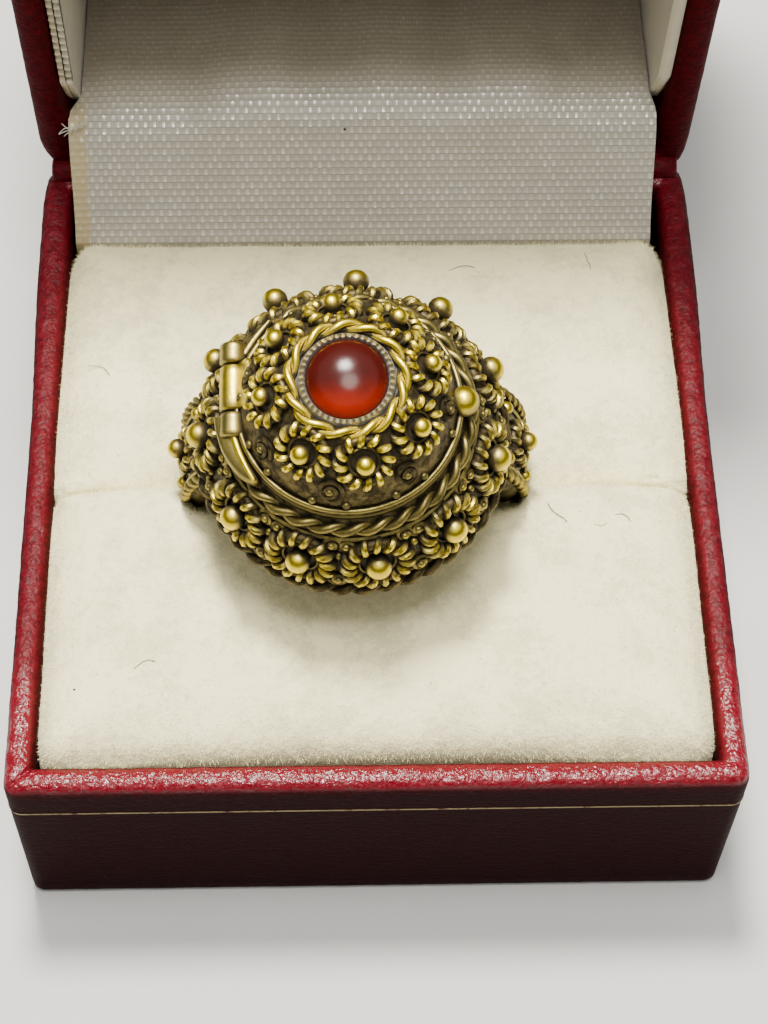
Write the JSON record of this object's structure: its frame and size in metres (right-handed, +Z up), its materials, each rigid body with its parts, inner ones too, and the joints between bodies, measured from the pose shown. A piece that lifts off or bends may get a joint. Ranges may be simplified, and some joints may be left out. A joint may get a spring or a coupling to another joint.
{
  "type": "poison ring in a ring box",
  "caption": "Gilt filigree poison ring with a hinged dome and a round carnelian, seated in the cream cushion of an open red ring box.",
  "frame": {"origin": "centre of the underside of the box base", "axes": "+X to the right along the box hinge, +Y back towards the hinge, +Z up out of the box base"},
  "size_m": [0.052, 0.0924, 0.0768],
  "materials": {
    "red_leatherette": "deep red leatherette with a fine crinkled grain and a soft gloss",
    "hinge_steel": "plain steel wire",
    "cream_velvet": "short cream velvet nap",
    "cream_satin": "ribbed cream satin with a soft sheen",
    "lining_card": "smooth cream covered card",
    "antique_gilt": "worn gilding, polished on the high points and dark in the recesses",
    "carnelian": "polished deep orange-red stone"
  },
  "bodies": {
    "root": {"case_base": "red_leatherette", "case_hinge_pin": "hinge_steel", "cushion": "cream_velvet", "hinge_cover": "cream_satin", "ring_body": "antique_gilt", "ring_hinge_pin": "antique_gilt"},
    "ring_lid": {"ring_lid": "antique_gilt", "cabochon": "carnelian"},
    "case_lid": {"case_lid": "red_leatherette", "lid_lining": "lining_card", "lid_satin": "cream_satin"}
  },
  "joints": [
    {"name": "ring_lid_hinge", "type": "hinge", "parent": "root", "child": "ring_lid", "pos_m": [-0.00954, -0.00767, 0.0353], "axis": [0, -0.9659, -0.2588], "range_deg": [0, 100]},
    {"name": "case_lid_hinge", "type": "hinge", "parent": "root", "child": "case_lid", "pos_m": [0, 0.02775, 0.01825], "axis": [-1, 0, 0], "range_deg": [-85, 0]}
  ]
}
